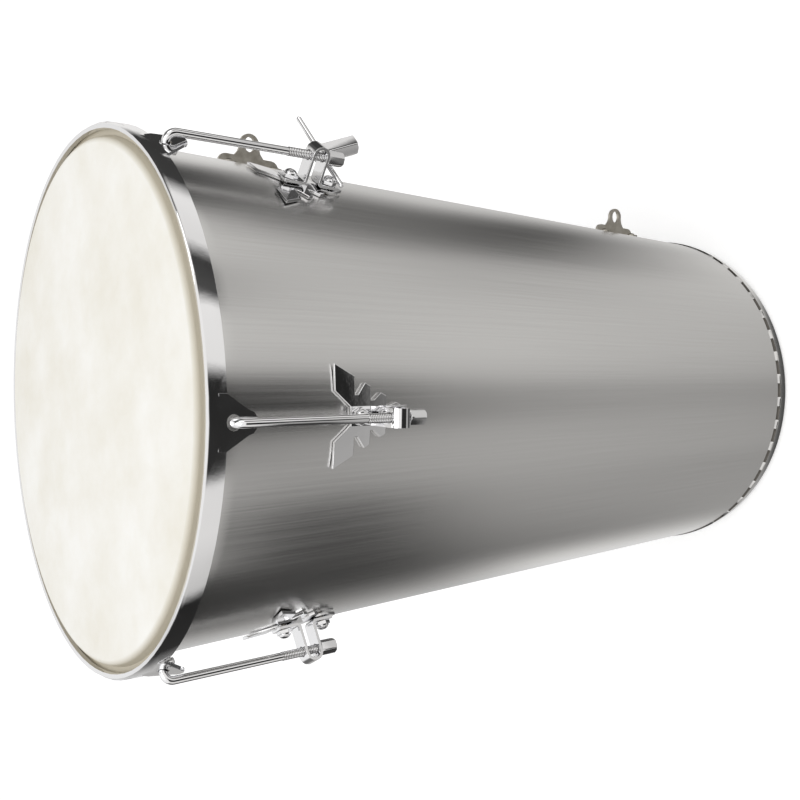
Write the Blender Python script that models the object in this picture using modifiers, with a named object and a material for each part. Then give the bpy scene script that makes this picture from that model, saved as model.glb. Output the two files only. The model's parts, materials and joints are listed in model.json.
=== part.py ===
# Tantan hand drum: a tapered metal shell with a tunable head at its wide end.
# The drum stands on its open end. +Z is the drum's axis and the head is on top.
# The origin is the centre of the open end, on the plane that the drum rests on.

import math

import bmesh
import bpy
from mathutils import Matrix, Vector

MM = 0.001

# Shell
SHELL_HEIGHT = 600 * MM
HEAD_DIAMETER = 355.6 * MM
END_DIAMETER = 300 * MM
SHELL_WALL = 1.5 * MM
BEARING_RADIUS = 3 * MM
RIM_CORNER = 4 * MM
RIM_FLANGE = 8 * MM

# Head and its two hoops
HEAD_THICKNESS = 0.5 * MM
FLESH_SECTION = 5.6 * MM
FLESH_DROP = 7 * MM
FLESH_CLEARANCE = 2.1 * MM
HOOP_HEIGHT = 12.2 * MM
HOOP_SHEET = 2 * MM
HOOP_CLEARANCE = 1 * MM
HOOP_BEAD = 5 * MM

# Ears of the hoop that the rods hook into
EAR_BASE = 32 * MM
EAR_TIP = 14 * MM
EAR_LENGTH = 20 * MM
EAR_OVERLAP = 3 * MM
EAR_FLARE = math.radians(15)
EAR_HOLE_WIDTH = 9.6 * MM
EAR_HOLE_START = 2.6 * MM
EAR_HOLE_LENGTH = 7.8 * MM

# Tension rods and their long nuts
LUG_COUNT = 6
LUG_DROP = 121.5 * MM
ROD_DIAMETER = 5.5 * MM
THREAD_DIAMETER = 6.35 * MM
THREAD_LENGTH = 40 * MM
ROD_STANDOFF = 23 * MM
HOOK_TAIL = 2.5 * MM
NUT_FLATS = 9.5 * MM
NUT_LENGTH = 12.5 * MM
NUT_CHAMFER = 0.8 * MM
NUT_ENGAGEMENT = 10.5 * MM

# Lug: a folded fishbone plate under a bent stirrup
PLATE_SHEET = 2.2 * MM
PLATE_HEAD_SIDE = 31 * MM
PLATE_TIP_SIDE = 27 * MM
PLATE_HALF_WIDTH = 32 * MM
PLATE_TIP_WIDTH = 3.4 * MM
PLATE_FOLD = math.radians(5)
PLATE_NOTCH_WIDTH = 31 * MM
PLATE_NOTCH_DEPTH = 12 * MM
PLATE_NOTCH_FLOOR = 10 * MM
TOOTH_COUNT = 3
TOOTH_PITCH = 12 * MM
TOOTH_GAP = 8 * MM
TOOTH_FIRST = 16.5 * MM
TOOTH_ROOT = 13 * MM
TOOTH_ROOT_STEP = 3.5 * MM
TOOTH_FLOOR = 2.5 * MM
STIRRUP_SHEET = 2 * MM
STIRRUP_WIDTH = 12 * MM
STIRRUP_SPAN = 13 * MM
STIRRUP_HEIGHT = 31.5 * MM
STIRRUP_FOOT = 16 * MM
STIRRUP_BEND = 1.5 * MM

# Bolts and domed nuts of the lugs
BOLT_DIAMETER = 5 * MM
BOLT_PITCH = 30.6 * MM
BOLT_HEAD_DIAMETER = 9.6 * MM
BOLT_HEAD_HEIGHT = 2.4 * MM
BOLT_ENGAGEMENT = 3 * MM
CAP_NUT_FLATS = 10 * MM
CAP_NUT_HEIGHT = 5.5 * MM
CAP_NUT_HEX = 2.4 * MM

# Strap eyes and their rivets
EYE_LEVELS = (478.5 * MM, 75 * MM)
EYE_SHEET = 2.5 * MM
EYE_LENGTH = 50 * MM
EYE_HEIGHT = 26.5 * MM
EYE_RING_WIDTH = 16 * MM
EYE_HOLE_WIDTH = 8.8 * MM
EYE_HOLE_HEIGHT = 11.6 * MM
EYE_NECK_HEIGHT = 12.5 * MM
EYE_LOBE_HEIGHT = 9 * MM
EYE_TAB_RADIUS = 6 * MM
EYE_TAB_SHEET = 2 * MM
RIVET_DIAMETER = 4 * MM
RIVET_HEAD_DIAMETER = 8 * MM
RIVET_HEAD_HEIGHT = 2 * MM

# Tuning key, parked with its bar between one lug's long nut and cap nut
KEY_LUG = 1
KEY_FLATS = 12.7 * MM
KEY_LENGTH = 31 * MM
KEY_SOCKET_DEPTH = 20 * MM
KEY_SOCKET_FLATS = 9.9 * MM
KEY_BAR_DIAMETER = 3.6 * MM
KEY_BAR_LENGTH = 64 * MM
KEY_BAR_REACH = 30 * MM
KEY_TOP = 4 * MM
KEY_OFFSET = 14.4 * MM
KEY_DROP = 15.8 * MM

# Fits
GAP = 0.3 * MM
BORE_GAP = 0.3 * MM
ROUND_STEPS = 84
SMALL_STEPS = 8

FRONT = math.radians(-30)
TAPER = math.atan((HEAD_DIAMETER - END_DIAMETER) / 2 / SHELL_HEIGHT)
LUG_LEVEL = SHELL_HEIGHT - LUG_DROP

BRIGHT_STEEL = ("chrome", (0.80, 0.80, 0.82), 0.08, 1.0)
SATIN_METAL = ("satin_metal", (0.66, 0.66, 0.66), 0.28, 1.0)
GREY_STEEL = ("grey_steel", (0.55, 0.53, 0.49), 0.45, 0.9)
CREAM_SKIN = ("cream_skin", (0.87, 0.85, 0.78), 0.55, 0.0)


def clear_scene():
    for item in list(bpy.data.objects):
        bpy.data.objects.remove(item, do_unlink=True)


def new_collection(name):
    group = bpy.data.collections.new(name)
    bpy.context.scene.collection.children.link(group)
    return group


def finish(spec):
    name, colour, roughness, metallic = spec
    material = bpy.data.materials.get(name)
    if material:
        return material
    material = bpy.data.materials.new(name)
    material.use_nodes = True
    shader = material.node_tree.nodes["Principled BSDF"]
    shader.inputs["Base Color"].default_value = (*colour, 1)
    shader.inputs["Roughness"].default_value = roughness
    shader.inputs["Metallic"].default_value = metallic
    return material


def place(name, mesh, spec, parent=None, location=(0, 0, 0), tilt=0.0):
    """Puts a mesh in the drum's collection, turned about its tangent (Y) axis."""
    item = bpy.data.objects.new(name, mesh)
    item.data.materials.clear()
    item.data.materials.append(finish(spec))
    DRUM.objects.link(item)
    item.parent = parent
    item.location = location
    item.rotation_euler = (0, tilt, 0)
    item.data.shade_smooth()
    item.data.set_sharp_from_angle(angle=math.radians(35))
    return item


def scratch(name, data):
    item = bpy.data.objects.new(name, data)
    CUTTERS.objects.link(item)
    item.hide_render = True
    item.display_type = "WIRE"
    return item


def evaluated_mesh(item, name):
    """Returns the item's final mesh with its loose caps welded, and removes the item."""
    bpy.context.view_layer.update()
    graph = bpy.context.evaluated_depsgraph_get()
    mesh = bpy.data.meshes.new_from_object(item.evaluated_get(graph))
    mesh.name = name
    mesh.transform(item.matrix_world)
    bpy.data.objects.remove(item, do_unlink=True)
    work = bmesh.new()
    work.from_mesh(mesh)
    bmesh.ops.remove_doubles(work, verts=work.verts, dist=1e-6)
    bmesh.ops.recalc_face_normals(work, faces=work.faces)
    work.to_mesh(mesh)
    work.free()
    return mesh


def turned(name, profile, steps):
    """Spins a closed profile of (radius, height) points about Z."""
    mesh = bpy.data.meshes.new(name)
    count = len(profile)
    edges = [(i, (i + 1) % count) for i in range(count)]
    if profile[0][0] == 0 and profile[-1][0] == 0:
        edges = edges[:-1]
    mesh.from_pydata([(r, 0, z) for r, z in profile], edges, [])
    item = scratch(name, mesh)
    screw = item.modifiers.new("Turn", "SCREW")
    screw.steps = steps
    screw.render_steps = steps
    screw.use_merge_vertices = True
    screw.merge_threshold = 0.000001
    return evaluated_mesh(item, name)


def flat_shape(name, outlines, thickness):
    """Extrudes closed outlines in the XY plane. The first is the edge, the rest are holes."""
    curve = bpy.data.curves.new(name, "CURVE")
    curve.dimensions = "2D"
    curve.fill_mode = "BOTH"
    curve.extrude = thickness / 2
    for points in outlines:
        spline = curve.splines.new("POLY")
        spline.points.add(len(points) - 1)
        for point, (x, y) in zip(spline.points, points):
            point.co = (x, y, 0, 1)
        spline.use_cyclic_u = True
    return evaluated_mesh(scratch(name, curve), name)


def tube(name, points, radii, resolution):
    curve = bpy.data.curves.new(name, "CURVE")
    curve.dimensions = "3D"
    curve.fill_mode = "FULL"
    curve.bevel_depth = 1
    curve.bevel_resolution = resolution
    curve.use_fill_caps = True
    spline = curve.splines.new("POLY")
    spline.points.add(len(points) - 1)
    for point, position, radius in zip(spline.points, points, radii):
        point.co = (*position, 1)
        point.radius = radius
    return evaluated_mesh(scratch(name, curve), name)


def cylinder(radius, length, matrix, steps=SMALL_STEPS, work=None):
    """Adds a capped cylinder centred on the matrix, along its Z axis."""
    work = work or bmesh.new()
    bmesh.ops.create_cone(
        work, cap_ends=True, segments=steps, radius1=radius, radius2=radius, depth=length, matrix=matrix
    )
    return work


def to_mesh(work, name):
    mesh = bpy.data.meshes.new(name)
    bmesh.ops.recalc_face_normals(work, faces=work.faces)
    work.to_mesh(mesh)
    work.free()
    return mesh


def combine(name, mesh, tools, operation):
    """Cuts the tool meshes out of a mesh, or joins them to it."""
    item = scratch(name, mesh)
    helpers = []
    for tool in tools:
        helper = scratch(name + "_tool", tool)
        helpers.append(helper)
        change = item.modifiers.new("Change", "BOOLEAN")
        change.operation = operation
        change.object = helper
    result = evaluated_mesh(item, name)
    for helper in helpers:
        bpy.data.objects.remove(helper, do_unlink=True)
    return result


def arc(centre, radius, start, stop, steps):
    """Points on an arc, with angles in degrees."""
    angles = [math.radians(start + (stop - start) * i / steps) for i in range(steps + 1)]
    return [(centre[0] + radius * math.cos(a), centre[1] + radius * math.sin(a)) for a in angles]


def wall_radius(level):
    """Outer radius of the shell at a height above its open end."""
    return END_DIAMETER / 2 + (HEAD_DIAMETER - END_DIAMETER) / 2 * level / SHELL_HEIGHT


def station(name, azimuth):
    """An empty on the drum's axis whose X axis points at a lug or strap eye."""
    empty = bpy.data.objects.new(name, None)
    DRUM.objects.link(empty)
    empty.rotation_euler = (0, 0, azimuth)
    return empty


def wall_seat(level):
    """Location and tilt, below a station, of a frame on the wall: X leaves the wall, Z runs up it."""
    return (wall_radius(level), 0, level), TAPER


def wall_point(level, azimuth, along, around, off):
    """World position of a point given in the wall's frame."""
    frame = Matrix.Rotation(azimuth, 4, "Z") @ Matrix.Translation((wall_radius(level), 0, level))
    return frame @ Matrix.Rotation(TAPER, 4, "Y") @ Vector((off, around, along))


def lug_azimuth(number):
    return FRONT + number * 2 * math.pi / LUG_COUNT


def eye_azimuth():
    return lug_azimuth(1) + math.pi / LUG_COUNT


def shell_profile():
    """The sheet: rolled bearing edge on top, tapered wall, turned-in foot."""
    top = HEAD_DIAMETER / 2
    end = END_DIAMETER / 2
    bead = (top - BEARING_RADIUS, SHELL_HEIGHT - BEARING_RADIUS)
    corner = (end - RIM_CORNER, RIM_CORNER)
    rolled = arc(bead, BEARING_RADIUS, 180, 0, 4)
    foot = arc(corner, RIM_CORNER, 0, -90, 2)
    lip = end - RIM_CORNER - RIM_FLANGE
    inside = arc(corner, RIM_CORNER - SHELL_WALL, -90, 0, 1)
    start = (wall_radius(SHELL_HEIGHT - 2 * BEARING_RADIUS) - SHELL_WALL, SHELL_HEIGHT - 2 * BEARING_RADIUS)
    return [start] + rolled + foot + [(lip, 0), (lip, SHELL_WALL)] + inside


def bolt_places():
    for number in range(LUG_COUNT):
        for side in (1, -1):
            yield number, side


def build_shell():
    mesh = turned("shell", shell_profile(), ROUND_STEPS)
    drill = bmesh.new()
    across = Matrix.Rotation(math.pi / 2, 4, "Y")
    depth = 8 * SHELL_WALL
    for number, side in bolt_places():
        azimuth = lug_azimuth(number)
        centre = wall_point(LUG_LEVEL, azimuth, side * BOLT_PITCH / 2, 0, 0)
        turn = Matrix.Rotation(azimuth, 4, "Z") @ Matrix.Rotation(TAPER, 4, "Y") @ across
        cylinder(BOLT_DIAMETER / 2 + BORE_GAP, depth, Matrix.Translation(centre) @ turn, 8, drill)
    for level in EYE_LEVELS:
        for side in (1, -1):
            centre = wall_point(level, eye_azimuth(), side * tab_level(), -EYE_TAB_RADIUS, 0)
            turn = Matrix.Rotation(eye_azimuth(), 4, "Z") @ Matrix.Rotation(TAPER, 4, "Y") @ across
            cylinder(RIVET_DIAMETER / 2 + BORE_GAP, depth, Matrix.Translation(centre) @ turn, 8, drill)
    place("shell", combine("shell", mesh, [to_mesh(drill, "drill")], "DIFFERENCE"), SATIN_METAL)


def flesh_inner():
    return HEAD_DIAMETER / 2 + FLESH_CLEARANCE


def flesh_top():
    return SHELL_HEIGHT - FLESH_DROP


def build_head():
    """The skin: a disc that rolls over the bearing edge and lies on the flesh hoop."""
    centre = (HEAD_DIAMETER / 2 - BEARING_RADIUS, SHELL_HEIGHT - BEARING_RADIUS)
    inner = BEARING_RADIUS + GAP
    outer = inner + HEAD_THICKNESS
    low = flesh_top() + GAP
    high = low + HEAD_THICKNESS
    edge = flesh_inner() + FLESH_SECTION
    fold = flesh_inner() - GAP
    profile = [(0, centre[1] + outer)]
    profile += arc(centre, outer, 90, 0, 2)
    profile += [(fold + HEAD_THICKNESS, high), (edge, high), (edge, low), (fold, low)]
    profile += arc(centre, inner, 0, 90, 2)
    profile += [(0, centre[1] + inner)]
    place("head", turned("head", profile, ROUND_STEPS), CREAM_SKIN)


def build_flesh_hoop():
    inner = flesh_inner()
    outer = inner + FLESH_SECTION
    top = flesh_top()
    low = top - FLESH_SECTION
    profile = [(inner, top), (outer, top), (outer, low), (inner, low)]
    place("flesh_hoop", turned("flesh_hoop", profile, ROUND_STEPS), GREY_STEEL)


def hoop_inner():
    return flesh_inner() + FLESH_SECTION + HOOP_CLEARANCE


def hoop_low():
    return flesh_top() + 2 * GAP + HEAD_THICKNESS + HOOP_BEAD - HOOP_HEIGHT


def build_hoop():
    """The counter hoop: a band rolled over into a bead, with a flared ear for each rod."""
    inner = hoop_inner()
    outer = inner + HOOP_SHEET
    low = hoop_low()
    top = low + HOOP_HEIGHT
    half = HOOP_BEAD / 2
    bead = (outer - half, top - half)
    rolled = arc(bead, half, 270, 0, 4)
    profile = [(inner, top - HOOP_BEAD + 0.2 * half)] + rolled + [(outer, low), (inner, low)]
    mesh = turned("hoop", profile, ROUND_STEPS)
    ears = []
    drill = bmesh.new()
    for number in range(LUG_COUNT):
        root = Matrix.Translation((inner + HOOP_SHEET / 2, 0, low + EAR_OVERLAP))
        frame = Matrix.Rotation(lug_azimuth(number), 4, "Z") @ root @ Matrix.Rotation(-EAR_FLARE, 4, "Y")
        ear = flat_shape("ear", [ear_outline()], HOOP_SHEET)
        ear.transform(frame @ Matrix.Rotation(math.pi / 2, 4, "Y"))
        ears.append(ear)
        hole = Matrix.Translation((0, 0, -EAR_HOLE_START - EAR_HOLE_LENGTH / 2))
        size = Matrix.Diagonal((EAR_HOLE_LENGTH, EAR_HOLE_WIDTH, 1, 1))
        across = Matrix.Rotation(math.pi / 2, 4, "Y")
        cylinder(0.5, 6 * HOOP_SHEET, frame @ hole @ across @ size, 12, drill)
    mesh = combine("hoop", mesh, ears, "UNION")
    mesh = combine("hoop", mesh, [to_mesh(drill, "drill")], "DIFFERENCE")
    place("hoop", mesh, BRIGHT_STEEL)


def ear_outline():
    """Half-round tip on a tapered root, drawn down +X from the hoop's back edge."""
    tip = EAR_TIP / 2
    round_start = EAR_LENGTH - 0.7 * tip
    points = [(-0.6 * EAR_OVERLAP, EAR_BASE / 2), (0.9 * EAR_OVERLAP, EAR_BASE / 2)]
    points += [(round_start + 0.7 * tip * math.sin(a), tip * math.cos(a)) for a in (0, 0.52, 1.05)]
    mirrored = [(x, -y) for x, y in reversed(points)]
    return points + [(EAR_LENGTH, 0)] + mirrored


def hook_radius():
    """Bend of the hook on its centre line, which holds the ear between shank and tail."""
    across = HOOP_SHEET / math.cos(EAR_FLARE) + ROD_DIAMETER + 4 * GAP
    lean = ROD_DIAMETER * math.tan(EAR_FLARE)
    return across / 2 + lean


def ear_at(along):
    """Radius and height of the ear's middle, a distance down from its root."""
    radius = hoop_inner() + HOOP_SHEET / 2 + along * math.sin(EAR_FLARE)
    return radius, hoop_low() + EAR_OVERLAP - along * math.cos(EAR_FLARE)


def hook_centre():
    """Centre of the hook's bend: its inside bears on the far edge of the ear's hole."""
    edge = EAR_HOLE_START + EAR_HOLE_LENGTH
    radius, level = ear_at(edge)
    return radius + HOOP_SHEET * 0.6, level - HOOP_SHEET * 0.9


def rod_line():
    """Upper and lower points of a rod's axis in its station's XZ plane."""
    radius, level = hook_centre()
    upper = Vector((radius + hook_radius(), 0, level))
    lower = Vector((wall_radius(LUG_LEVEL) + ROD_STANDOFF, 0, LUG_LEVEL))
    return upper, lower


def rod_lean():
    upper, lower = rod_line()
    return math.atan2(upper.x - lower.x, upper.z - lower.z)


def nut_corner():
    return NUT_FLATS / 2 / math.cos(math.pi / 6)


def nut_seat():
    """Point on the rod's axis where the long nut bears on the stirrup."""
    upper, lower = rod_line()
    direction = (lower - upper).normalized()
    drop = (STIRRUP_SPAN / 2 + GAP) / math.cos(TAPER) + nut_corner() * math.tan(TAPER)
    shift = (wall_radius(LUG_LEVEL) + ROD_STANDOFF - wall_radius(LUG_LEVEL)) * math.sin(TAPER)
    return lower + direction * (drop + shift)


def build_rod(number, parent):
    upper, lower = rod_line()
    length = (nut_seat() - upper).length + NUT_ENGAGEMENT
    bend = hook_radius()
    points = [(-2 * bend, 0, -HOOK_TAIL)]
    turn = [math.radians(angle) for angle in range(180, -1, -30)]
    points += [(bend * math.cos(a) - bend, 0, bend * math.sin(a)) for a in turn]
    radii = [ROD_DIAMETER / 2] * len(points)
    points += [(0, 0, -length + THREAD_LENGTH), (0, 0, -length + THREAD_LENGTH - GAP), (0, 0, -length)]
    radii += [ROD_DIAMETER / 2, THREAD_DIAMETER / 2, THREAD_DIAMETER / 2]
    mesh = tube("tension_rod", points, radii, 2)
    place(f"tension_rod_{number + 1}", mesh, BRIGHT_STEEL, parent, upper, rod_lean())


def hexagon(flats, length, chamfer=0.0):
    """A hexagonal bar below the origin, its corners turned off at both ends."""
    work = cylinder(flats / 2 / math.cos(math.pi / 6), length, Matrix.Translation((0, 0, -length / 2)), 6)
    mesh = to_mesh(work, "hexagon")
    if not chamfer:
        return mesh
    corner = flats / 2 / math.cos(math.pi / 6) * 1.02
    flat = flats / 2 * 0.98
    profile = [(0, 0), (flat, 0), (corner, -chamfer), (corner, -length + chamfer), (flat, -length), (0, -length)]
    return combine("hexagon", mesh, [turned("turning", profile, SMALL_STEPS)], "INTERSECT")


def build_rod_nut(number, parent):
    body = hexagon(NUT_FLATS, NUT_LENGTH, NUT_CHAMFER)
    body.transform(Matrix.Rotation(math.pi / 6, 4, "Z"))
    bore = cylinder(THREAD_DIAMETER / 2 + BORE_GAP, 3 * NUT_LENGTH, Matrix())
    mesh = combine("rod_nut", body, [to_mesh(bore, "bore")], "DIFFERENCE")
    place(f"rod_nut_{number + 1}", mesh, BRIGHT_STEEL, parent, nut_seat(), rod_lean())


def slope(along):
    """Half width of the fishbone plate, which narrows from the head side to its tip."""
    share = (along + PLATE_HEAD_SIDE) / (PLATE_HEAD_SIDE + PLATE_TIP_SIDE)
    return PLATE_HALF_WIDTH + (PLATE_TIP_WIDTH / 2 - PLATE_HALF_WIDTH) * share


def plate_outline():
    """One wing from the notch at the head side, along its teeth, to the tip."""
    points = [(-PLATE_HEAD_SIDE + PLATE_NOTCH_DEPTH, PLATE_NOTCH_FLOOR / 2)]
    points += [(-PLATE_HEAD_SIDE, PLATE_NOTCH_WIDTH / 2), (-PLATE_HEAD_SIDE, PLATE_HALF_WIDTH)]
    for tooth in range(TOOTH_COUNT):
        edge = -TOOTH_FIRST + tooth * TOOTH_PITCH
        root = TOOTH_ROOT - tooth * TOOTH_ROOT_STEP
        points += [(edge, slope(edge)), (edge, root), (edge + TOOTH_FLOOR, root)]
        points += [(edge + TOOTH_GAP, slope(edge + TOOTH_GAP))]
    return points + [(PLATE_TIP_SIDE, PLATE_TIP_WIDTH / 2)]


def plate_rise():
    """Height of the fold's underside, so that the sloping wings clear the round wall."""
    lift = wall_radius(LUG_LEVEL + PLATE_HEAD_SIDE) * math.tan(PLATE_FOLD) ** 2 / 2
    return lift + GAP


def plate_top():
    return plate_rise() + PLATE_SHEET


def build_plate(number, parent):
    wing = plate_outline()
    other = [(x, -y) for x, y in reversed(wing)]
    mesh = flat_shape("lug_plate", [wing + other], PLATE_SHEET)
    work = bmesh.new()
    work.from_mesh(mesh)
    geometry = work.verts[:] + work.edges[:] + work.faces[:]
    bmesh.ops.bisect_plane(work, geom=geometry, plane_co=(0, 0, 0), plane_no=(0, 1, 0))
    for vertex in work.verts:
        vertex.co.z -= abs(vertex.co.y) * math.tan(PLATE_FOLD)
    work.to_mesh(mesh)
    work.free()
    mesh.transform(Matrix.Rotation(math.pi / 2, 4, "Y"))
    mesh.transform(Matrix.Translation((plate_rise() + PLATE_SHEET / 2, 0, 0)))
    mesh = combine("lug_plate", mesh, [bolt_drill()], "DIFFERENCE")
    location, tilt = wall_seat(LUG_LEVEL)
    place(f"lug_plate_{number + 1}", mesh, BRIGHT_STEEL, parent, location, tilt)


def bolt_drill():
    """Both bolt holes of a lug, across the plate and the stirrup's feet."""
    work = bmesh.new()
    across = Matrix.Rotation(math.pi / 2, 4, "Y")
    for side in (1, -1):
        hole = Matrix.Translation((0, 0, side * BOLT_PITCH / 2)) @ across
        cylinder(BOLT_DIAMETER / 2 + BORE_GAP, STIRRUP_HEIGHT, hole, 8, work)
    return to_mesh(work, "bolt_drill")


def foot_low():
    return plate_top() + GAP


def foot_top():
    return foot_low() + STIRRUP_SHEET


def stirrup_path():
    """Middle of the bent strip: foot, leg, round nose, leg and foot."""
    half = STIRRUP_SPAN / 2 - STIRRUP_SHEET / 2
    foot = foot_low() + STIRRUP_SHEET / 2
    nose = STIRRUP_HEIGHT - STIRRUP_SPAN / 2
    reach = half + STIRRUP_FOOT
    side = [(foot, reach), (foot, half + STIRRUP_BEND), (foot + STIRRUP_BEND, half)]
    bow = arc((nose, 0), half, 90, -90, 6)
    return side + bow + [(x, -z) for x, z in reversed(side)]


def build_stirrup(number, parent):
    work = bmesh.new()
    corners = [work.verts.new((x, -STIRRUP_WIDTH / 2, z)) for x, z in stirrup_path()]
    edges = [work.edges.new(pair) for pair in zip(corners, corners[1:])]
    strip = bmesh.ops.extrude_edge_only(work, edges=edges)["geom"]
    moved = [part for part in strip if isinstance(part, bmesh.types.BMVert)]
    bmesh.ops.translate(work, verts=moved, vec=(0, STIRRUP_WIDTH, 0))
    item = scratch("stirrup", to_mesh(work, "stirrup"))
    wall = item.modifiers.new("Sheet", "SOLIDIFY")
    wall.thickness = STIRRUP_SHEET
    wall.offset = 0
    wall.use_even_offset = True
    mesh = evaluated_mesh(item, "stirrup")
    location, tilt = wall_seat(LUG_LEVEL)
    inverse = (Matrix.Translation(location) @ Matrix.Rotation(tilt, 4, "Y")).inverted()
    upper, lower = rod_line()
    rod_frame = inverse @ Matrix.Translation(lower) @ Matrix.Rotation(rod_lean(), 4, "Y")
    eye = cylinder(THREAD_DIAMETER / 2 + 2 * BORE_GAP, 3 * STIRRUP_SPAN, rod_frame)
    mesh = combine("lug_stirrup", mesh, [bolt_drill(), to_mesh(eye, "eye")], "DIFFERENCE")
    place(f"lug_stirrup_{number + 1}", mesh, BRIGHT_STEEL, parent, location, tilt)


def build_bolt(name, parent, along):
    """A round-headed bolt from inside the shell, drawn along +Z and laid along +X."""
    radius = BOLT_DIAMETER / 2
    head = BOLT_HEAD_DIAMETER / 2
    seat = -SHELL_WALL - GAP
    end = foot_top() + GAP + BOLT_ENGAGEMENT
    profile = [(0, end), (radius, end), (radius, seat), (head, seat), (head, seat - 0.4 * BOLT_HEAD_HEIGHT)]
    profile += [(0.6 * head, seat - BOLT_HEAD_HEIGHT), (0, seat - BOLT_HEAD_HEIGHT)]
    mesh = turned("lug_bolt", profile, SMALL_STEPS)
    mesh.transform(Matrix.Rotation(math.pi / 2, 4, "Y"))
    mesh.transform(Matrix.Translation((0, 0, along)))
    location, tilt = wall_seat(LUG_LEVEL)
    place(name, mesh, GREY_STEEL, parent, location, tilt)


def build_cap_nut(name, parent, along):
    """A domed nut: a hexagon with a ball end, blind-bored from its seat."""
    seat = foot_top() + GAP
    dome = CAP_NUT_FLATS / 2 * 0.94
    rise = CAP_NUT_HEIGHT - CAP_NUT_HEX
    cap = [(rise * math.sin(a) + CAP_NUT_HEX, dome * math.cos(a)) for a in (1.57, 1.1, 0.7, 0.3, 0)]
    skirt = 0.4 * CAP_NUT_HEX
    profile = [(0, CAP_NUT_HEIGHT)] + [(r, z) for z, r in cap[1:]] + [(dome, skirt), (0, skirt)]
    body = hexagon(CAP_NUT_FLATS, CAP_NUT_HEX)
    body.transform(Matrix.Translation((0, 0, CAP_NUT_HEX)))
    mesh = combine("cap_nut", body, [turned("dome", profile, SMALL_STEPS)], "UNION")
    depth = 2 * (BOLT_ENGAGEMENT + GAP)
    bore = cylinder(BOLT_DIAMETER / 2 + BORE_GAP, depth, Matrix(), 8)
    mesh = combine("cap_nut", mesh, [to_mesh(bore, "bore")], "DIFFERENCE")
    mesh.transform(Matrix.Rotation(math.pi / 2, 4, "Y"))
    mesh.transform(Matrix.Translation((seat, 0, along)))
    location, tilt = wall_seat(LUG_LEVEL)
    place(name, mesh, BRIGHT_STEEL, parent, location, tilt)


def tab_level():
    return EYE_LENGTH / 2 - EYE_TAB_RADIUS


def eye_outline():
    """Side view of a strap eye: ring on top, waist, and a lobe at each end of the base."""
    ring = EYE_RING_WIDTH / 2
    centre = EYE_HEIGHT - ring
    top = arc((0, centre), ring, 90, -12, 6)
    lobe_radius = EYE_TAB_RADIUS
    lobe = (tab_level(), EYE_LOBE_HEIGHT - lobe_radius)
    waist = [(ring + 0.15 * ring, EYE_NECK_HEIGHT), (ring + 0.5 * ring, EYE_LOBE_HEIGHT)]
    foot = arc(lobe, lobe_radius, 90, 0, 4)
    half = top + waist + foot + [(EYE_LENGTH / 2, GAP)]
    return half + [(-x, y) for x, y in reversed(half[1:])]


def build_strap_eye(number, level, parent):
    ring_centre = EYE_HEIGHT - EYE_RING_WIDTH / 2
    turns = [2 * math.pi * i / 12 for i in range(12)]
    hole = [(EYE_HOLE_WIDTH / 2 * math.cos(a), ring_centre + EYE_HOLE_HEIGHT / 2 * math.sin(a)) for a in turns]
    mesh = flat_shape("strap_eye", [eye_outline(), hole], EYE_SHEET)
    swing = Matrix(((0, 1, 0, 0), (0, 0, 1, 0), (1, 0, 0, 0), (0, 0, 0, 1)))
    mesh.transform(swing)
    tabs = []
    drill = bmesh.new()
    across = Matrix.Rotation(math.pi / 2, 4, "Y")
    for side in (1, -1):
        middle = Vector((GAP + EYE_TAB_SHEET / 2, -EYE_TAB_RADIUS, side * tab_level()))
        frame = Matrix.Translation(middle) @ across
        tabs.append(to_mesh(cylinder(EYE_TAB_RADIUS, EYE_TAB_SHEET, frame, 12), "tab"))
        cylinder(RIVET_DIAMETER / 2 + BORE_GAP, 6 * EYE_TAB_SHEET, frame, 8, drill)
    mesh = combine("strap_eye", mesh, tabs, "UNION")
    mesh = combine("strap_eye", mesh, [to_mesh(drill, "drill")], "DIFFERENCE")
    location, tilt = wall_seat(level)
    place(f"strap_eye_{number}", mesh, GREY_STEEL, parent, location, tilt)
    for side, letter in ((1, "a"), (-1, "b")):
        build_rivet(f"strap_rivet_{number}{letter}", level, side, parent)


def build_rivet(name, level, side, parent):
    radius = RIVET_DIAMETER / 2
    head = RIVET_HEAD_DIAMETER / 2
    seat = GAP + EYE_TAB_SHEET + GAP
    back = -SHELL_WALL - 2 * GAP
    high = seat + RIVET_HEAD_HEIGHT
    end = back - 0.6 * RIVET_HEAD_HEIGHT
    profile = [(0, high), (0.6 * head, high - 0.25 * RIVET_HEAD_HEIGHT), (head, seat), (radius, seat)]
    profile += [(radius, back), (0.8 * head, back), (0.7 * head, end), (0, end)]
    mesh = turned("strap_rivet", profile, SMALL_STEPS)
    mesh.transform(Matrix.Rotation(math.pi / 2, 4, "Y"))
    mesh.transform(Matrix.Translation((0, -EYE_TAB_RADIUS, side * tab_level())))
    location, tilt = wall_seat(level)
    place(name, mesh, GREY_STEEL, parent, location, tilt)


def key_frame():
    """Frame in the lug's wall frame: origin where bar and socket cross, X along the bar."""
    bar = Vector((-0.39, -0.888, -0.24)).normalized()
    socket = Vector((0.378, 0.084, -0.922))
    socket = (socket - bar * socket.dot(bar)).normalized()
    below = foot_top() + GAP + CAP_NUT_HEIGHT
    above = ROD_STANDOFF - nut_corner()
    cross = Vector(((below + above) / 2, 0, -KEY_DROP)) - bar * (KEY_OFFSET / abs(bar.y))
    side = (-socket).cross(bar)
    frame = Matrix((bar, side, -socket)).transposed().to_4x4()
    return Matrix.Translation(cross) @ frame


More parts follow.
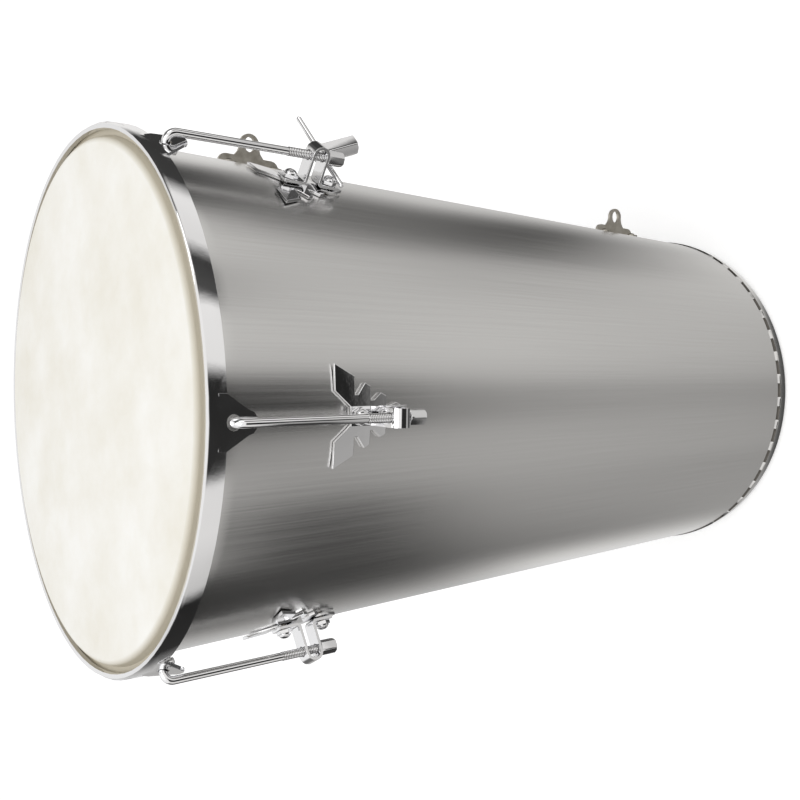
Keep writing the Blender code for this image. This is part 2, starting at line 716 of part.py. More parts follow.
def build_key(parent):
    location, tilt = wall_seat(LUG_LEVEL)
    empty = bpy.data.objects.new("key_seat", None)
    DRUM.objects.link(empty)
    empty.parent = parent
    empty.matrix_local = Matrix.Translation(location) @ Matrix.Rotation(tilt, 4, "Y") @ key_frame()
    body = hexagon(KEY_FLATS, KEY_LENGTH, NUT_CHAMFER)
    body.transform(Matrix.Rotation(math.pi / 6, 4, "Z"))
    body.transform(Matrix.Translation((0, 0, KEY_TOP)))
    pocket = hexagon(KEY_SOCKET_FLATS, 2 * KEY_SOCKET_DEPTH)
    pocket.transform(Matrix.Rotation(math.pi / 6, 4, "Z"))
    pocket.transform(Matrix.Translation((0, 0, KEY_TOP - KEY_LENGTH + KEY_SOCKET_DEPTH)))
    along = Matrix.Rotation(math.pi / 2, 4, "Y")
    cross = cylinder(KEY_BAR_DIAMETER / 2 + BORE_GAP, 3 * KEY_FLATS, along)
    mesh = combine("key_socket", body, [pocket, to_mesh(cross, "cross")], "DIFFERENCE")
    place("key_socket", mesh, BRIGHT_STEEL, empty)
    bar = KEY_BAR_DIAMETER / 2
    start = KEY_BAR_REACH - KEY_BAR_LENGTH
    nose = 0.6 * bar
    profile = [(0, KEY_BAR_REACH), (0.6 * bar, KEY_BAR_REACH), (bar, KEY_BAR_REACH - nose)]
    profile += [(bar, start + nose), (0.6 * bar, start), (0, start)]
    mesh = turned("key_bar", profile, SMALL_STEPS)
    mesh.transform(Matrix.Rotation(math.pi / 2, 4, "Y"))
    place("key_bar", mesh, BRIGHT_STEEL, empty)


def build_lug(number):
    parent = station(f"lug_station_{number + 1}", lug_azimuth(number))
    build_rod(number, parent)
    build_rod_nut(number, parent)
    build_plate(number, parent)
    build_stirrup(number, parent)
    for side, letter in ((1, "a"), (-1, "b")):
        along = side * BOLT_PITCH / 2
        build_bolt(f"lug_bolt_{number + 1}{letter}", parent, along)
        build_cap_nut(f"cap_nut_{number + 1}{letter}", parent, along)
    if number == KEY_LUG:
        build_key(parent)


clear_scene()
DRUM = new_collection("tantan")
CUTTERS = new_collection("cutters")
build_shell()
build_head()
build_flesh_hoop()
build_hoop()
for lug in range(LUG_COUNT):
    build_lug(lug)
eye_station = station("eye_station", eye_azimuth())
for index, eye_level in enumerate(EYE_LEVELS):
    build_strap_eye(index + 1, eye_level, eye_station)
bpy.context.view_layer.update()
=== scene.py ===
# Tantan hand drum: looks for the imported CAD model, seen from the photograph's angle.

import json
import math

import bmesh
import bpy
from mathutils import Matrix, Vector


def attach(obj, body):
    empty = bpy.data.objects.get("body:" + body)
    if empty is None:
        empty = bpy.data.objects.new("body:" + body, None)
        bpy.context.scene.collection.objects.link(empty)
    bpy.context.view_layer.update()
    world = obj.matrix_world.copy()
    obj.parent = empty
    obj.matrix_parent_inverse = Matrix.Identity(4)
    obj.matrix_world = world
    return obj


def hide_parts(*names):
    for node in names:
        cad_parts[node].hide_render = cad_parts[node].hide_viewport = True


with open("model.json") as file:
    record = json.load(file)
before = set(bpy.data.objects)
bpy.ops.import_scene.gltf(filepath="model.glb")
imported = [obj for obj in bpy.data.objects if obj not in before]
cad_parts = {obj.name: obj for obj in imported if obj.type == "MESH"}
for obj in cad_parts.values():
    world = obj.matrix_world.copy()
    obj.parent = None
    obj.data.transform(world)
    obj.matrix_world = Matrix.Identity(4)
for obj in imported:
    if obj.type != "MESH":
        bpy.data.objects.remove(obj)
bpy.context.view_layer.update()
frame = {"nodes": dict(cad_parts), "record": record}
nodes = frame["nodes"]

MM = 0.001

# Camera
# The photograph is taken from beside the head, with the drum's axis lying across the picture, so the camera
# is rolled by about a quarter turn. Its place and lens come from the pinhole fit to the outlines.
camera_data = bpy.data.cameras.new("photo_camera")
camera_data.sensor_width = 36
camera_data.sensor_height = 36
camera_data.sensor_fit = "HORIZONTAL"
camera_data.lens = 44.812
camera_data.clip_start = 0.01
camera_data.clip_end = 50
camera = bpy.data.objects.new("photo_camera", camera_data)
bpy.context.scene.collection.objects.link(camera)
camera_right = Vector((0.519953, -0.278404, -0.807552))
camera_forward = Vector((-0.727888, 0.350342, -0.589441))
camera_right.normalize()
camera_forward.normalize()
camera_up = camera_right.cross(camera_forward)
camera.matrix_world = Matrix.Translation((0.611963, -0.299161, 0.830212)) @ Matrix(
    (camera_right, camera_up, -camera_forward)
).transposed().to_4x4()
bpy.context.scene.camera = camera

# Studio light
# Two soft boxes over the drum and a pale room. The room's walls are what the metal mirrors: pale boards
# with darker gaps between them, softer towards the floor and stronger upwards, under a white ceiling.
for name, place, size, power in (
    ("soft_box_over", (0.5, -0.6, 2.3), 1.6, 10),
    ("soft_box_side", (1.5, 1.1, 1.7), 1.0, 4),
):
    lamp_data = bpy.data.lights.new(name, "AREA")
    lamp_data.shape = "SQUARE"
    lamp_data.size = size
    lamp_data.energy = power
    lamp = bpy.data.objects.new(name, lamp_data)
    bpy.context.scene.collection.objects.link(lamp)
    lamp.location = place
    aim = Vector((0, 0, 0.35)) - Vector(place)
    lamp.rotation_euler = aim.to_track_quat("-Z", "Y").to_euler()

world = bpy.data.worlds.new("studio")
bpy.context.scene.world = world
world.use_nodes = True
sky = world.node_tree
sky.nodes.clear()
sky_out = sky.nodes.new("ShaderNodeOutputWorld")
direction = sky.nodes.new("ShaderNodeTexCoord")
parts = sky.nodes.new("ShaderNodeSeparateXYZ")
sky.links.new(direction.outputs["Generated"], parts.inputs[0])
around = sky.nodes.new("ShaderNodeMath")
around.operation = "ARCTAN2"
sky.links.new(parts.outputs["Y"], around.inputs[0])
sky.links.new(parts.outputs["X"], around.inputs[1])
turn = sky.nodes.new("ShaderNodeMapRange")
turn.inputs["From Min"].default_value = -math.pi
turn.inputs["From Max"].default_value = math.pi
sky.links.new(around.outputs[0], turn.inputs["Value"])
under_boards = ((-180, 0.08), (180, 0.08))
floor_boards = (
    (-180, 0.90), (-150, 0.50), (-140, 0.40), (-85, 0.38), (-72, 0.46), (-45, 0.46), (-36, 0.43), (-24, 0.43),
    (-15, 0.54), (0, 0.58), (40, 0.62), (75, 0.70), (96, 0.88), (180, 0.90),
)
low_boards = (
    (-180, 0.90), (-160, 0.80), (-148, 0.50), (-136, 0.24), (-120, 0.31), (-100, 0.40), (-80, 0.46), (-60, 0.52),
    (-44, 0.50), (-37, 0.38), (-24, 0.41), (-17, 0.64), (0, 0.71), (25, 0.64), (40, 0.53), (56, 0.48),
    (68, 0.13), (98, 0.08), (112, 0.42), (124, 0.70), (180, 0.90),
)
middle_boards = (
    (-180, 0.60), (-165, 0.46), (-147, 0.18), (-135, 0.06), (-92, 0.03), (-84, 0.06), (-76, 0.20), (-66, 0.38),
    (-50, 0.42), (-44, 0.36), (-40, 0.02), (-19, 0.02), (-14, 0.60), (30, 0.65), (52, 0.60), (62, 0.30), (72, 0.18),
    (92, 0.16), (102, 0.42), (112, 0.72), (180, 0.60),
)
high_boards = (
    (-180, 0.7), (-162, 0.5), (-152, 0.2), (-143, 0.03), (-112, 0.02), (-105, 0.6), (-80, 0.8), (-60, 0.8),
    (-54, 0.03), (-18, 0.02), (-12, 0.85), (10, 0.9), (16, 0.08), (30, 0.04), (38, 0.8), (60, 0.9), (70, 0.05),
    (100, 0.04), (112, 0.9), (180, 0.7),
)
ceiling_boards = ((-180, 0.95), (20, 0.95), (40, 0.50), (60, 0.12), (95, 0.08), (115, 0.80), (180, 0.95))
ramps = []
for boards in (under_boards, floor_boards, low_boards, middle_boards, high_boards, ceiling_boards):
    ramp = sky.nodes.new("ShaderNodeValToRGB")
    sky.links.new(turn.outputs[0], ramp.inputs[0])
    stops = ramp.color_ramp.elements
    stops[0].position = 0
    stops[1].position = 1
    for stop, (bearing, tone) in zip((stops[0], stops[1]), (boards[0], boards[-1])):
        stop.color = (tone, tone, tone, 1)
    for bearing, tone in boards[1:-1]:
        stop = stops.new((bearing + 180) / 360)
        stop.color = (tone, tone * 0.985, tone * 0.965, 1)
    ramps.append(ramp)
walls = ramps[0].outputs["Color"]
levels = ((-0.95, -0.90), (-0.84, -0.73), (-0.70, -0.62), (-0.50, -0.44), (0.16, 0.30))
for ramp, (bottom, top) in zip(ramps[1:], levels):
    lift = sky.nodes.new("ShaderNodeMapRange")
    lift.inputs["From Min"].default_value = bottom
    lift.inputs["From Max"].default_value = top
    sky.links.new(parts.outputs["Z"], lift.inputs["Value"])
    mix = sky.nodes.new("ShaderNodeMix")
    mix.data_type = "RGBA"
    sky.links.new(lift.outputs[0], mix.inputs["Factor"])
    sky.links.new(walls, mix.inputs["A"])
    sky.links.new(ramp.outputs["Color"], mix.inputs["B"])
    walls = mix.outputs["Result"]
room = sky.nodes.new("ShaderNodeBackground")
sky.links.new(walls, room.inputs["Color"])
fill = sky.nodes.new("ShaderNodeBackground")
fill.inputs["Color"].default_value = (1, 1, 1, 1)
fill.inputs["Strength"].default_value = 0.72
white = sky.nodes.new("ShaderNodeBackground")
white.inputs["Color"].default_value = (1, 1, 1, 1)
ray = sky.nodes.new("ShaderNodeLightPath")
metal_mix = sky.nodes.new("ShaderNodeMixShader")
sky.links.new(ray.outputs["Is Glossy Ray"], metal_mix.inputs[0])
sky.links.new(fill.outputs[0], metal_mix.inputs[1])
sky.links.new(room.outputs[0], metal_mix.inputs[2])
camera_mix = sky.nodes.new("ShaderNodeMixShader")
sky.links.new(ray.outputs["Is Camera Ray"], camera_mix.inputs[0])
sky.links.new(metal_mix.outputs[0], camera_mix.inputs[1])
sky.links.new(white.outputs[0], camera_mix.inputs[2])
sky.links.new(camera_mix.outputs[0], sky_out.inputs[0])
bpy.context.scene.view_settings.view_transform = "Standard"

# Floor
# A plain pale sheet under the standing drum. The metal mirrors the room's boards and not the sheet.
floor_mesh = bpy.data.meshes.new("floor")
floor_work = bmesh.new()
bmesh.ops.create_grid(floor_work, x_segments=1, y_segments=1, size=4, matrix=Matrix.Translation((0, 0, -0.0002)))
floor_work.to_mesh(floor_mesh)
floor_work.free()
floor = bpy.data.objects.new("floor", floor_mesh)
bpy.context.scene.collection.objects.link(floor)
floor.visible_glossy = False
floor_look = bpy.data.materials.new("pale_floor")
floor_look.use_nodes = True
floor_shader = floor_look.node_tree.nodes["Principled BSDF"]
floor_shader.inputs["Base Color"].default_value = (0.96, 0.96, 0.96, 1)
floor_shader.inputs["Roughness"].default_value = 0.9
floor_shader.inputs["Emission Color"].default_value = (1, 1, 1, 1)
floor_shader.inputs["Emission Strength"].default_value = 0.34
floor_mesh.materials.append(floor_look)

# Shell
# Tapered tube of satin sheet metal with faint streaks along its length. Its head end is rolled over into
# the bearing edge. Its open end is a low hem rolled inwards, under a ring of notches with bright lands; the
# notch faces carry painted shade, a near-black metal standing in for the shade in the recesses.
shell_height = 600 * MM
shell_head = 177.8 * MM
shell_end = 150 * MM
shell_wall = 1.5 * MM
bearing = 3 * MM
foot_corner = 4 * MM
foot_flange = 8 * MM
notches = 45
notch_start = math.radians(0.7)
notch_depth = 0.7 * MM
notch_top = 16 * MM
crease_depth = 1.0 * MM
hem_height = 1.4 * MM
roll_start = 13 * MM
roll_slope = (0.12, 0.25)
shell_steps = notches * 10
outline = [(shell_head - (shell_head - shell_end) * 0.01 - shell_wall, shell_height - 2 * bearing)]
for step in range(13):
    angle = math.radians(180 - 15 * step)
    outline.append(
        (shell_head - bearing + bearing * math.cos(angle), shell_height - bearing + bearing * math.sin(angle))
    )
levels = [shell_height - bearing - (shell_height - bearing - 18 * MM) * step / 24 for step in range(1, 25)]
levels += [17 * MM, 16.4 * MM]
for level in levels:
    outline.append((shell_end + (shell_head - shell_end) * level / shell_height, level))
for step in range(5):
    share = step / 5
    outline.append(
        (shell_end + (hem_height + crease_depth) * share - crease_depth, notch_top - (notch_top - roll_start) * share)
    )
roll_end = math.atan(roll_slope[1])
roll_low = foot_corner - foot_corner * math.sin(roll_end)
roll_length = roll_start - roll_low
for step in range(7):
    share = step / 6
    pull = roll_length * (roll_slope[0] * share + (roll_slope[1] - roll_slope[0]) * share * share / 2)
    outline.append((shell_end + hem_height - pull, roll_start - roll_length * share))
corner_at = outline[-1][0] - foot_corner * math.cos(roll_end)
for step in range(1, 7):
    angle = -roll_end - (math.pi / 2 - roll_end) * step / 6
    outline.append((corner_at + foot_corner * math.cos(angle), foot_corner + foot_corner * math.sin(angle)))
outline.append((shell_end - foot_corner - foot_flange, 0))
outline.append((shell_end - foot_corner - foot_flange, shell_wall))
for step in range(4):
    angle = math.radians(-90 + 30 * step)
    inner_corner = foot_corner - shell_wall
    outline.append((corner_at + inner_corner * math.cos(angle), foot_corner + inner_corner * math.sin(angle)))
outline.append((shell_end - shell_wall - crease_depth, notch_top))
outline.append((shell_end - shell_wall, 24 * MM))
shell_work = bmesh.new()
ring = [shell_work.verts.new((radius, 0, level)) for radius, level in outline]
for pair in zip(ring, ring[1:] + ring[:1]):
    shell_work.edges.new(pair)
bmesh.ops.spin(
    shell_work, geom=shell_work.verts[:] + shell_work.edges[:], cent=(0, 0, 0), axis=(0, 0, 1),
    angle=2 * math.pi, steps=shell_steps, use_merge=True,
)
bmesh.ops.remove_doubles(shell_work, verts=shell_work.verts, dist=1e-6)
bmesh.ops.recalc_face_normals(shell_work, faces=shell_work.faces)
# Outer faces in the notch band go to the second slot: painted shade, a dark colour for the shade in the recesses.
for face in shell_work.faces:
    middle = face.calc_center_median()
    wave = 0.5 - 0.5 * math.cos(notches * (math.atan2(middle.y, middle.x) - notch_start))
    outside = math.hypot(middle.x, middle.y) > shell_end - shell_wall + 0.2 * MM
    if outside and roll_start < middle.z < notch_top + 0.4 * MM and wave > 0.32:
        face.material_index = 1
for vertex in shell_work.verts:
    radius = math.hypot(vertex.co.x, vertex.co.y)
    if not roll_start + 0.1 * MM < vertex.co.z < notch_top + 0.1 * MM or radius < shell_end - 1.2 * MM:
        continue
    wave = 0.5 - 0.5 * math.cos(notches * (math.atan2(vertex.co.y, vertex.co.x) - notch_start))
    dent = notch_depth * min(1, max(0, (wave - 0.3) / 0.25))
    vertex.co.x -= dent * vertex.co.x / radius
    vertex.co.y -= dent * vertex.co.y / radius
shell_mesh = bpy.data.meshes.new("shell_sheet")
shell_work.to_mesh(shell_mesh)
shell_work.free()
shell_mesh.shade_smooth()
shell_mesh.set_sharp_from_angle(angle=math.radians(50))
shell_piece = bpy.data.objects.new("shell_sheet", shell_mesh)
bpy.context.scene.collection.objects.link(shell_piece)

satin = bpy.data.materials.new("satin_sheet")
satin.use_nodes = True
tree = satin.node_tree
shader = tree.nodes["Principled BSDF"]
shader.inputs["Metallic"].default_value = 1
place = tree.nodes.new("ShaderNodeTexCoord")
split = tree.nodes.new("ShaderNodeSeparateXYZ")
tree.links.new(place.outputs["Object"], split.inputs[0])
bearing_angle = tree.nodes.new("ShaderNodeMath")
bearing_angle.operation = "ARCTAN2"
tree.links.new(split.outputs["Y"], bearing_angle.inputs[0])
tree.links.new(split.outputs["X"], bearing_angle.inputs[1])
flat = tree.nodes.new("ShaderNodeCombineXYZ")
tree.links.new(bearing_angle.outputs[0], flat.inputs["X"])
tree.links.new(split.outputs["Z"], flat.inputs["Y"])
streaks = tree.nodes.new("ShaderNodeMapping")
streaks.inputs["Scale"].default_value = (90, 3.2, 1)
tree.links.new(flat.outputs[0], streaks.inputs["Vector"])
streak_noise = tree.nodes.new("ShaderNodeTexNoise")
streak_noise.inputs["Scale"].default_value = 1.6
streak_noise.inputs["Detail"].default_value = 9
streak_noise.inputs["Roughness"].default_value = 0.72
tree.links.new(streaks.outputs[0], streak_noise.inputs["Vector"])
cloud = tree.nodes.new("ShaderNodeTexNoise")
cloud.inputs["Scale"].default_value = 9
cloud.inputs["Detail"].default_value = 3
tree.links.new(place.outputs["Object"], cloud.inputs["Vector"])
tone = tree.nodes.new("ShaderNodeValToRGB")
tone.color_ramp.elements[0].position = 0.3
tone.color_ramp.elements[0].color = (0.71, 0.705, 0.695, 1)
tone.color_ramp.elements[1].position = 0.72
tone.color_ramp.elements[1].color = (0.79, 0.785, 0.775, 1)
tree.links.new(streak_noise.outputs[0], tone.inputs[0])
tree.links.new(tone.outputs[0], shader.inputs["Base Color"])
gloss = tree.nodes.new("ShaderNodeMapRange")
gloss.inputs["From Min"].default_value = 0.3
gloss.inputs["From Max"].default_value = 0.7
gloss.inputs["To Min"].default_value = 0.19
gloss.inputs["To Max"].default_value = 0.26
tree.links.new(streak_noise.outputs[0], gloss.inputs["Value"])
tree.links.new(gloss.outputs[0], shader.inputs["Roughness"])
grain = tree.nodes.new("ShaderNodeBump")
grain.inputs["Strength"].default_value = 0.03
grain.inputs["Distance"].default_value = 0.0004
tree.links.new(streak_noise.outputs[0], grain.inputs["Height"])
waves = tree.nodes.new("ShaderNodeBump")
waves.inputs["Strength"].default_value = 0.08
waves.inputs["Distance"].default_value = 0.002
tree.links.new(cloud.outputs[0], waves.inputs["Height"])
tree.links.new(grain.outputs[0], waves.inputs["Normal"])
tree.links.new(waves.outputs[0], shader.inputs["Normal"])
shell_mesh.materials.append(satin)

# Painted shade: near-black metal on the notch faces and the thread roots, standing in for the shade that falls in
# these recesses.
painted_shade = bpy.data.materials.new("painted_recess_shade")
painted_shade.use_nodes = True
tree = painted_shade.node_tree
shader = tree.nodes["Principled BSDF"]
shader.inputs["Metallic"].default_value = 1
place = tree.nodes.new("ShaderNodeTexCoord")
recess_shade_noise = tree.nodes.new("ShaderNodeTexNoise")
recess_shade_noise.inputs["Scale"].default_value = 900
recess_shade_noise.inputs["Detail"].default_value = 3
tree.links.new(place.outputs["Object"], recess_shade_noise.inputs["Vector"])
tone = tree.nodes.new("ShaderNodeValToRGB")
tone.color_ramp.elements[0].color = (0.06, 0.055, 0.05, 1)
tone.color_ramp.elements[1].color = (0.16, 0.15, 0.135, 1)
tree.links.new(recess_shade_noise.outputs[0], tone.inputs[0])
tree.links.new(tone.outputs[0], shader.inputs["Base Color"])
gloss = tree.nodes.new("ShaderNodeMapRange")
gloss.inputs["To Min"].default_value = 0.3
gloss.inputs["To Max"].default_value = 0.5
tree.links.new(recess_shade_noise.outputs[0], gloss.inputs["Value"])
tree.links.new(gloss.outputs[0], shader.inputs["Roughness"])
shell_mesh.materials.append(painted_shade)
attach(shell_piece, "drum")
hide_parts("shell")

# Head
# Cream skin pulled over the bearing edge and down to the flesh hoop. It is mottled, with painted shade in a
# darker band where the skin turns down over the bearing edge.
skin_thickness = 0.5 * MM
skin_gap = 0.3 * MM
flesh_inner = shell_head + 2.1 * MM
flesh_section = 5.6 * MM
flesh_top = shell_height - 7 * MM
bend_inner = bearing + skin_gap
bend_outer = bend_inner + skin_thickness
bend_at = (shell_head - bearing, shell_height - bearing)
outline = []
for step in range(7):
    outline.append((bend_at[0] * step / 7 if step else 0, bend_at[1] + bend_outer))
for step in range(9):
    angle = math.radians(90 - 90 * step / 8)
    outline.append((bend_at[0] + bend_outer * math.cos(angle), bend_at[1] + bend_outer * math.sin(angle)))
low = flesh_top + skin_gap
outline.append((flesh_inner - skin_gap + skin_thickness, low + skin_thickness))
outline.append((flesh_inner + flesh_section, low + skin_thickness))
outline.append((flesh_inner + flesh_section, low))
outline.append((flesh_inner - skin_gap, low))
for step in range(9):
    angle = math.radians(90 * step / 8)
    outline.append((bend_at[0] + bend_inner * math.cos(angle), bend_at[1] + bend_inner * math.sin(angle)))
outline.append((0, bend_at[1] + bend_inner))
head_work = bmesh.new()
ring = [head_work.verts.new((radius, 0, level)) for radius, level in outline]
for pair in zip(ring, ring[1:]):
    head_work.edges.new(pair)
bmesh.ops.spin(
    head_work, geom=head_work.verts[:] + head_work.edges[:], cent=(0, 0, 0), axis=(0, 0, 1),
    angle=2 * math.pi, steps=168, use_merge=True,
)
bmesh.ops.remove_doubles(head_work, verts=head_work.verts, dist=1e-6)
bmesh.ops.recalc_face_normals(head_work, faces=head_work.faces)
head_mesh = bpy.data.meshes.new("skin")
head_work.to_mesh(head_mesh)
head_work.free()
head_mesh.shade_smooth()
head_mesh.set_sharp_from_angle(angle=math.radians(50))
head_piece = bpy.data.objects.new("skin", head_mesh)
bpy.context.scene.collection.objects.link(head_piece)

skin = bpy.data.materials.new("cream_hide")
skin.use_nodes = True
tree = skin.node_tree
shader = tree.nodes["Principled BSDF"]
shader.inputs["Roughness"].default_value = 0.55
shader.inputs["Specular IOR Level"].default_value = 0.35
place = tree.nodes.new("ShaderNodeTexCoord")
mottle = tree.nodes.new("ShaderNodeTexNoise")
mottle.inputs["Scale"].default_value = 16
mottle.inputs["Detail"].default_value = 8
mottle.inputs["Roughness"].default_value = 0.62
tree.links.new(place.outputs["Object"], mottle.inputs["Vector"])
tone = tree.nodes.new("ShaderNodeValToRGB")
tone.color_ramp.elements[0].position = 0.28
tone.color_ramp.elements[0].color = (0.87, 0.84, 0.75, 1)
tone.color_ramp.elements[1].position = 0.70
tone.color_ramp.elements[1].color = (0.98, 0.97, 0.93, 1)
tree.links.new(mottle.outputs[0], tone.inputs[0])
split = tree.nodes.new("ShaderNodeSeparateXYZ")
tree.links.new(place.outputs["Object"], split.inputs[0])
ground = tree.nodes.new("ShaderNodeCombineXYZ")
tree.links.new(split.outputs["X"], ground.inputs["X"])
tree.links.new(split.outputs["Y"], ground.inputs["Y"])
reach = tree.nodes.new("ShaderNodeVectorMath")
reach.operation = "LENGTH"
tree.links.new(ground.outputs[0], reach.inputs[0])
# Painted shade: the colour darkens between 174.5 mm and 178.5 mm radius, over the collar that slopes away from the
# light.
edge = tree.nodes.new("ShaderNodeMapRange")
edge.inputs["From Min"].default_value = 0.1745
edge.inputs["From Max"].default_value = 0.1785
tree.links.new(reach.outputs["Value"], edge.inputs["Value"])
collar_shade_mix = tree.nodes.new("ShaderNodeMix")
collar_shade_mix.data_type = "RGBA"
collar_shade_mix.inputs["B"].default_value = (0.62, 0.57, 0.46, 1)
tree.links.new(edge.outputs[0], collar_shade_mix.inputs["Factor"])
tree.links.new(tone.outputs[0], collar_shade_mix.inputs["A"])
tree.links.new(collar_shade_mix.outputs["Result"], shader.inputs["Base Color"])
pores = tree.nodes.new("ShaderNodeTexNoise")
pores.inputs["Scale"].default_value = 420
pores.inputs["Detail"].default_value = 4
tree.links.new(place.outputs["Object"], pores.inputs["Vector"])
grain = tree.nodes.new("ShaderNodeBump")
grain.inputs["Strength"].default_value = 0.18
grain.inputs["Distance"].default_value = 0.0004
tree.links.new(pores.outputs[0], grain.inputs["Height"])
tree.links.new(grain.outputs[0], shader.inputs["Normal"])
head_mesh.materials.append(skin)
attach(head_piece, "drum")
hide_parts("head")

# Flesh hoop
# Plain steel ring inside the lapped skin. Only a sliver of it shows between the shell and the counter hoop,
# so it keeps its CAD solid and gets a dull grey finish.
dull = bpy.data.materials.new("dull_steel")
dull.use_nodes = True
tree = dull.node_tree
shader = tree.nodes["Principled BSDF"]
shader.inputs["Metallic"].default_value = 1
place = tree.nodes.new("ShaderNodeTexCoord")
stain = tree.nodes.new("ShaderNodeTexNoise")
stain.inputs["Scale"].default_value = 130
stain.inputs["Detail"].default_value = 7
stain.inputs["Roughness"].default_value = 0.65
tree.links.new(place.outputs["Object"], stain.inputs["Vector"])
tone = tree.nodes.new("ShaderNodeValToRGB")
tone.color_ramp.elements[0].position = 0.3
tone.color_ramp.elements[0].color = (0.42, 0.39, 0.33, 1)
tone.color_ramp.elements[1].position = 0.7
tone.color_ramp.elements[1].color = (0.66, 0.63, 0.57, 1)
tree.links.new(stain.outputs[0], tone.inputs[0])
tree.links.new(tone.outputs[0], shader.inputs["Base Color"])
gloss = tree.nodes.new("ShaderNodeMapRange")
gloss.inputs["To Min"].default_value = 0.28
gloss.inputs["To Max"].default_value = 0.52
tree.links.new(stain.outputs[0], gloss.inputs["Value"])
tree.links.new(gloss.outputs[0], shader.inputs["Roughness"])
grain = tree.nodes.new("ShaderNodeBump")
grain.inputs["Strength"].default_value = 0.2
grain.inputs["Distance"].default_value = 0.0003
tree.links.new(stain.outputs[0], grain.inputs["Height"])
tree.links.new(grain.outputs[0], shader.inputs["Normal"])
nodes["flesh_hoop"].data.materials.clear()
nodes["flesh_hoop"].data.materials.append(dull)

# Counter hoop, lug metalwork, key and strap eyes
# Pressed and bent steel parts with a bright plated finish. Each keeps its solid's form, and its cut edges
# are rounded over as plating and tumbling leave them.
chrome = bpy.data.materials.new("bright_plating")
chrome.use_nodes = True
tree = chrome.node_tree
shader = tree.nodes["Principled BSDF"]
shader.inputs["Metallic"].default_value = 1
shader.inputs["Base Color"].default_value = (0.86, 0.86, 0.87, 1)
place = tree.nodes.new("ShaderNodeTexCoord")
smear = tree.nodes.new("ShaderNodeTexNoise")
smear.inputs["Scale"].default_value = 60
smear.inputs["Detail"].default_value = 6
tree.links.new(place.outputs["Object"], smear.inputs["Vector"])
gloss = tree.nodes.new("ShaderNodeMapRange")
gloss.inputs["From Min"].default_value = 0.35
gloss.inputs["From Max"].default_value = 0.75
gloss.inputs["To Min"].default_value = 0.03
gloss.inputs["To Max"].default_value = 0.14
tree.links.new(smear.outputs[0], gloss.inputs["Value"])
tree.links.new(gloss.outputs[0], shader.inputs["Roughness"])
ripple = tree.nodes.new("ShaderNodeBump")
ripple.inputs["Strength"].default_value = 0.10
ripple.inputs["Distance"].default_value = 0.0008
tree.links.new(smear.outputs[0], ripple.inputs["Height"])
tree.links.new(ripple.outputs[0], shader.inputs["Normal"])
trimmed = {
    "hoop": (0.30, chrome, "chrome"),
    "rod_nut": (0.30, chrome, "chrome"),
    "lug_plate": (0.35, chrome, "chrome"),
    "lug_stirrup": (0.35, chrome, "chrome"),
    "cap_nut": (0.30, chrome, "chrome"),
    "key_socket": (0.35, chrome, "chrome"),
    "key_bar": (0.20, chrome, "chrome"),
    "strap_eye": (0.35, dull, "grey_steel"),
    "strap_rivet": (0.25, dull, "grey_steel"),
    "lug_bolt": (0.25, dull, "grey_steel"),
}
for node_name, node in sorted(nodes.items()):
    for family, (rounding, look, slot_name) in trimmed.items():
        if not node_name.startswith(family):
            continue
        work = bmesh.new()
        work.from_mesh(node.data)
        bmesh.ops.remove_doubles(work, verts=work.verts, dist=1e-6)
        bmesh.ops.dissolve_limit(work, angle_limit=math.radians(0.6), verts=work.verts, edges=work.edges)
        sharp = [e for e in work.edges if len(e.link_faces) == 2 and e.calc_face_angle() > math.radians(50)]
        bmesh.ops.bevel(
            work, geom=sharp, offset=rounding * MM, segments=2, profile=0.6, affect="EDGES", clamp_overlap=True
        )
        bmesh.ops.recalc_face_normals(work, faces=work.faces)
        mesh = bpy.data.meshes.new(node_name + "_plated")
        work.to_mesh(mesh)
        work.free()
        mesh.shade_smooth()
        mesh.set_sharp_from_angle(angle=math.radians(50))
        piece = bpy.data.objects.new(node_name + "_plated", mesh)
        bpy.context.scene.collection.objects.link(piece)
        flats = piece.modifiers.new("flat_faces_stay_flat", "WEIGHTED_NORMAL")
        flats.weight = 100
        flats.keep_sharp = True
        mesh.materials.append(look)
        body = next(b for b, members in frame["record"]["behaviour"]["bodies"].items() if node_name in members)
        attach(piece, body)
        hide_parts(node_name)
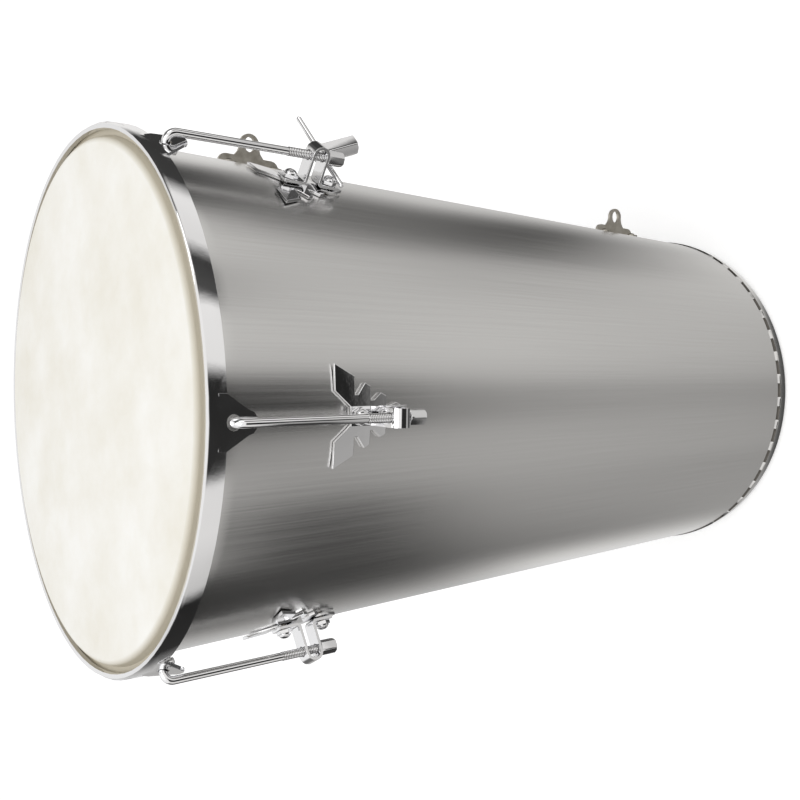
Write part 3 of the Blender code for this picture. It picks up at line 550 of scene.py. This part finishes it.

# Tension rods
# Round steel rods with a bright plated finish, bent into a hook at the hoop's end. The other end has a
# rolled thread of 1.27 mm pitch, with painted shade darkening its roots, that runs through the stirrup into the long
# nut.
rod_top = (197.251 * MM, 0, 578.054 * MM)
rod_lean = math.atan2(2.0805, 99.5543)
rod_length = 118.2 * MM
rod_radius = 2.75 * MM
hook_bend = 5.859 * MM
hook_tail = 2.5 * MM
thread_top = 3.1 * MM
thread_root = 2.55 * MM
thread_pitch = 1.27 * MM
thread_length = 40 * MM
stations = [(-2 * hook_bend, -hook_tail, 90, 0.7, 0), (-2 * hook_bend, -hook_tail + 0.5 * MM, 90, 1, 0)]
for step in range(17):
    turn_at = 180 - 11.25 * step
    angle = math.radians(turn_at)
    stations.append((hook_bend * math.cos(angle) - hook_bend, hook_bend * math.sin(angle), turn_at - 90, 1, 0))
stations.append((0, -rod_length + thread_length + 0.6 * MM, -90, 1, 0))
thread_steps = round(thread_length / thread_pitch * 6)
for step in range(thread_steps + 1):
    stations.append((0, -rod_length + thread_length * (1 - step / thread_steps), -90, 1, 1))
rod_work = bmesh.new()
sides = 20
rings = []
for along, level, heading, share, threaded in stations:
    across = math.radians(heading - 90)
    loop = []
    for side in range(sides):
        around = 2 * math.pi * side / sides
        radius = rod_radius * share
        if threaded:
            phase = (level / thread_pitch + side / sides) % 1
            crest = min(1, 1.6 * (1 - abs(2 * phase - 1)))
            radius = thread_root + (thread_top - thread_root) * crest
            radius -= max(0, -level - rod_length + 1.2 * MM) * 0.5
        loop.append(
            rod_work.verts.new(
                (
                    along + radius * math.cos(around) * math.cos(across),
                    radius * math.sin(around),
                    level + radius * math.cos(around) * math.sin(across),
                )
            )
        )
    rings.append(loop)
for first, second in zip(rings, rings[1:]):
    for side in range(sides):
        rod_work.faces.new((first[side], first[side - 1], second[side - 1], second[side]))
rod_work.faces.new(rings[0])
rod_work.faces.new(rings[-1][::-1])
bmesh.ops.recalc_face_normals(rod_work, faces=rod_work.faces)
# Faces in the thread roots get the painted shade material: a dark colour for the shade between the ridges.
for face in rod_work.faces:
    middle = face.calc_center_median()
    if middle.z < thread_length - rod_length and math.hypot(middle.x, middle.y) < thread_root + 0.28 * MM:
        face.material_index = 1
rod_mesh = bpy.data.meshes.new("rod_bent")
rod_work.to_mesh(rod_mesh)
rod_work.free()
for number in range(6):
    mesh = rod_mesh.copy()
    mesh.transform(
        Matrix.Rotation(math.radians(60 * number - 30), 4, "Z")
        @ Matrix.Translation(rod_top) @ Matrix.Rotation(rod_lean, 4, "Y")
    )
    mesh.shade_smooth()
    mesh.set_sharp_from_angle(angle=math.radians(60))
    mesh.materials.append(chrome)
    mesh.materials.append(painted_shade)
    piece = bpy.data.objects.new(f"tension_rod_{number + 1}_bent", mesh)
    bpy.context.scene.collection.objects.link(piece)
    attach(piece, "counter_hoop")
    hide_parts(f"tension_rod_{number + 1}")
